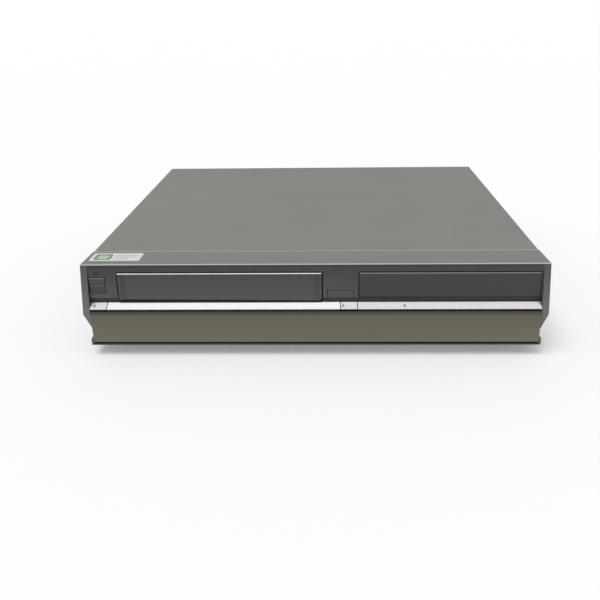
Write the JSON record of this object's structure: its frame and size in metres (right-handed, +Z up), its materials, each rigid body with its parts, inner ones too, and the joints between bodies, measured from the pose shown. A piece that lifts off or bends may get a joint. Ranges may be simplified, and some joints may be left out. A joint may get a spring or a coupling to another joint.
{
  "type": "disc and cassette recorder",
  "caption": "Slim silver-grey disc and video cassette recorder with a mirrored drop-down door under a bright sloping strip, a cassette flap and a disc tray.",
  "frame": {"origin": "on the floor under the middle of the case", "axes": "+X to the right as seen from the front, the front towards -Y, +Z up"},
  "size_m": [0.43, 0.364, 0.089],
  "materials": {
    "silver_plastic": "dark silver moulding, satin",
    "silver_sheet": "silver-grey paint, satin, fine grain",
    "bright_strip": "bright silver metallised, satin",
    "mirror_plastic": "mirror metallised, polished",
    "zinc_sheet": "zinc plated sheet, satin",
    "black_plastic": "black moulding, matt",
    "smoked_window": "dark tinted, polished",
    "green_board": "solder-resist green, satin",
    "steel": "bright steel, satin",
    "drum_metal": "turned, polished",
    "rubber": "matt",
    "grey_plastic": "grey moulding, matt"
  },
  "bodies": {
    "case": {"front_bezel": "silver_plastic", "top_cover": "silver_sheet", "trim_strip_left": "bright_strip", "trim_strip_right": "bright_strip", "bottom_chassis": "zinc_sheet", "rear_panel": "zinc_sheet", "antenna_tuner": "zinc_sheet", "clamp_bridge": "zinc_sheet", "traverse_chassis": "zinc_sheet", "deck_chassis": "zinc_sheet", "loading_frame": "zinc_sheet", "front_jack_block": "black_plastic", "rear_jack_block": "black_plastic", "ac_inlet": "black_plastic", "fan_frame": "black_plastic", "drive_frame": "black_plastic", "indicator_window": "smoked_window", "receiver_window": "smoked_window", "display_module": "smoked_window", "front_board": "green_board", "main_board": "green_board", "power_supply_board": "green_board", "cover_screw_1": "steel", "cover_screw_2": "steel", "cover_screw_3": "steel", "cover_screw_4": "steel", "transformer": "steel", "guide_rod_left": "steel", "guide_rod_right": "steel", "spindle_motor": "steel", "audio_control_head": "steel", "drum_base": "drum_metal", "foot_front_left": "rubber", "foot_front_right": "rubber", "foot_rear_left": "rubber", "foot_rear_right": "rubber", "control_panel": "grey_plastic"},
    "door": {"lower_door": "mirror_plastic"},
    "flap": {"cassette_flap": "silver_plastic"},
    "tray": {"disc_tray": "black_plastic", "tray_front": "silver_plastic"},
    "power": {"power_button": "silver_plastic"},
    "eject": {"cassette_eject_button": "bright_strip"},
    "open_close": {"disc_open_button": "bright_strip"},
    "stop": {"stop_key": "black_plastic"},
    "play": {"play_key": "black_plastic"},
    "record": {"record_key": "black_plastic"},
    "channel_down": {"channel_down_key": "black_plastic"},
    "channel_up": {"channel_up_key": "black_plastic"},
    "slide": {"loading_slide": "steel"},
    "carriage": {"cassette_carriage": "steel"},
    "supply": {"supply_reel": "grey_plastic"},
    "takeup": {"takeup_reel": "grey_plastic"},
    "drum": {"head_drum": "drum_metal"},
    "capstan": {"capstan_flywheel": "steel"},
    "pinch": {"pinch_roller": "rubber"},
    "spindle": {"turntable": "grey_plastic"},
    "clamper": {"disc_clamper": "black_plastic"},
    "pickup": {"optical_pickup": "grey_plastic"},
    "fan": {"fan_rotor": "black_plastic"}
  },
  "joints": [
    {"name": "door_hinge", "type": "hinge", "parent": "case", "child": "door", "pos_m": [0, -0.1804, 0.0147], "axis": [1, 0, 0], "range_deg": [0, 90]},
    {"name": "flap_hinge", "type": "hinge", "parent": "case", "child": "flap", "pos_m": [-0.087, -0.17157, 0.0795], "axis": [1, 0, 0], "range_deg": [0, 80], "stiffness_Nm_per_rad": 0.003, "springref_deg": -20.05},
    {"name": "tray_slide", "type": "slide", "parent": "case", "child": "tray", "axis": [0, -1, 0], "range_m": [0, 0.13]},
    {"name": "power_press", "type": "slide", "parent": "case", "child": "power", "axis": [0, 1, 0], "range_m": [0, 0.001], "stiffness_N_per_m": 600, "springref_m": -0.0005},
    {"name": "eject_press", "type": "slide", "parent": "case", "child": "eject", "axis": [0, 0.5914, -0.8064], "range_m": [0, 0.0008], "stiffness_N_per_m": 600, "springref_m": -0.0005},
    {"name": "open_close_press", "type": "slide", "parent": "case", "child": "open_close", "axis": [0, 0.5914, -0.8064], "range_m": [0, 0.0008], "stiffness_N_per_m": 600, "springref_m": -0.0005},
    {"name": "stop_press", "type": "slide", "parent": "case", "child": "stop", "axis": [0, 1, 0], "range_m": [0, 0.001], "stiffness_N_per_m": 600, "springref_m": -0.0005},
    {"name": "play_press", "type": "slide", "parent": "case", "child": "play", "axis": [0, 1, 0], "range_m": [0, 0.001], "stiffness_N_per_m": 600, "springref_m": -0.0005},
    {"name": "record_press", "type": "slide", "parent": "case", "child": "record", "axis": [0, 1, 0], "range_m": [0, 0.001], "stiffness_N_per_m": 600, "springref_m": -0.0005},
    {"name": "channel_down_press", "type": "slide", "parent": "case", "child": "channel_down", "axis": [0, 1, 0], "range_m": [0, 0.001], "stiffness_N_per_m": 600, "springref_m": -0.0005},
    {"name": "channel_up_press", "type": "slide", "parent": "case", "child": "channel_up", "axis": [0, 1, 0], "range_m": [0, 0.001], "stiffness_N_per_m": 600, "springref_m": -0.0005},
    {"name": "loading_slide_travel", "type": "slide", "parent": "case", "child": "slide", "axis": [0, 1, 0], "range_m": [0, 0.03]},
    {"name": "carriage_drop", "type": "slide", "parent": "slide", "child": "carriage", "axis": [0, 0, -1], "range_m": [0, 0.022]},
    {"name": "supply_reel_spin", "type": "hinge", "parent": "case", "child": "supply", "pos_m": [-0.133, -0.057, 0.0308], "axis": [0, 0, 1], "continuous": true},
    {"name": "takeup_reel_spin", "type": "hinge", "parent": "case", "child": "takeup", "pos_m": [-0.041, -0.057, 0.0308], "axis": [0, 0, 1], "continuous": true},
    {"name": "head_drum_spin", "type": "hinge", "parent": "case", "child": "drum", "pos_m": [-0.097, 0.04121, 0.05168], "axis": [0, 0.1038, 0.9946], "continuous": true},
    {"name": "capstan_spin", "type": "hinge", "parent": "case", "child": "capstan", "pos_m": [-0.051, 0.004, 0.0188], "axis": [0, 0, 1], "continuous": true},
    {"name": "pinch_roller_spin", "type": "hinge", "parent": "case", "child": "pinch", "pos_m": [-0.051, 0.0125, 0.0393], "axis": [0, 0, 1], "continuous": true},
    {"name": "turntable_spin", "type": "hinge", "parent": "case", "child": "spindle", "pos_m": [0.1242, -0.0982, 0.0575], "axis": [0, 0, 1], "continuous": true},
    {"name": "clamper_spin", "type": "hinge", "parent": "case", "child": "clamper", "pos_m": [0.1242, -0.0982, 0.0702], "axis": [0, 0, 1], "continuous": true},
    {"name": "pickup_travel", "type": "slide", "parent": "case", "child": "pickup", "axis": [0, 1, 0], "range_m": [0, 0.031]},
    {"name": "fan_spin", "type": "hinge", "parent": "case", "child": "fan", "pos_m": [0.1288, 0.1677, 0.0659], "axis": [0, 1, 0], "continuous": true}
  ]
}
